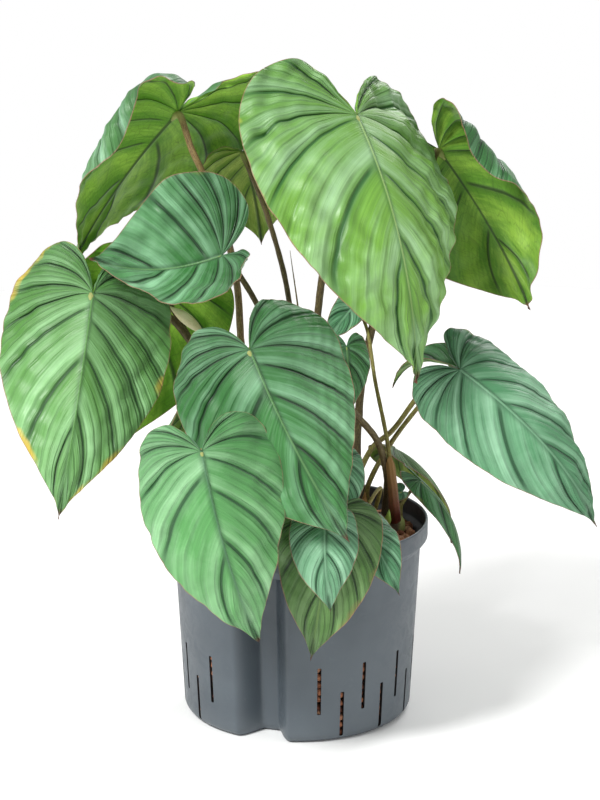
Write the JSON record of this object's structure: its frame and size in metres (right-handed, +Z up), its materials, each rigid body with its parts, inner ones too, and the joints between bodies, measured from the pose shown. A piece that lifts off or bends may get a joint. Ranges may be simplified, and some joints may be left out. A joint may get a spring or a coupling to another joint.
{
  "type": "potted philodendron",
  "caption": "Philodendron with heart-shaped quilted leaves on long stalks, rooted in clay granules in a slotted hydroculture pot with a gauge flute.",
  "frame": {"origin": "middle of the pot's flat underside, on the pot's axis", "axes": "+Z up along the pot's axis, -Y towards the front of the plant, +X to its right"},
  "size_m": [0.5587, 0.3393, 0.6269],
  "materials": {
    "pot_plastic": "satin dark slate moulded plastic, faint scuffs",
    "fired_clay": "rough red-brown fired clay pebbles",
    "stem_bark": "dull brown-green bark with leaf scars",
    "leaf": "satin waxy green upper side with sunken veins, olive underside",
    "stalk": "satin olive to brown, finely ridged",
    "sheath": "papery red-brown",
    "pale_roll": "pale cream-green rolled leaf"
  },
  "bodies": {
    "root": {"pot": "pot_plastic", "clay_granules": "fired_clay", "rhizome": "stem_bark", "blade_upper_front": "leaf", "blade_right_back": "leaf", "blade_right_front": "leaf", "blade_left_front": "leaf", "blade_middle_front": "leaf", "blade_low_front": "leaf", "blade_upper_left_back": "leaf", "blade_left_cupped": "leaf", "blade_upper_back": "leaf", "blade_left_back": "leaf", "blade_low_left_inner": "leaf", "blade_inner_back_small": "leaf", "blade_inner_front_small": "leaf", "blade_rim_front_inner": "leaf", "blade_rim_front": "leaf", "blade_rim_front_small": "leaf", "blade_rim_front_right": "leaf", "blade_rim_right_back": "leaf", "blade_rim_right": "leaf", "blade_inner_right": "leaf", "blade_crown_small": "leaf", "stalk_upper_front": "stalk", "stalk_right_back": "stalk", "stalk_right_front": "stalk", "stalk_left_front": "stalk", "stalk_middle_front": "stalk", "stalk_low_front": "stalk", "stalk_upper_left_back": "stalk", "stalk_left_cupped": "stalk", "stalk_upper_back": "stalk", "stalk_left_back": "stalk", "stalk_low_left_inner": "stalk", "stalk_inner_back_small": "stalk", "stalk_inner_front_small": "stalk", "stalk_rim_front_inner": "stalk", "stalk_rim_front": "stalk", "stalk_rim_front_small": "stalk", "stalk_rim_front_right": "stalk", "stalk_rim_right_back": "stalk", "stalk_rim_right": "stalk", "stalk_inner_right": "stalk", "stalk_crown_small": "stalk", "stalk_young": "stalk", "young_leaf_roll": "pale_roll", "cataphyll": "sheath", "dried_cataphyll": "sheath", "red_bud": "sheath", "lime_shoot": "leaf"}
  },
  "joints": []
}
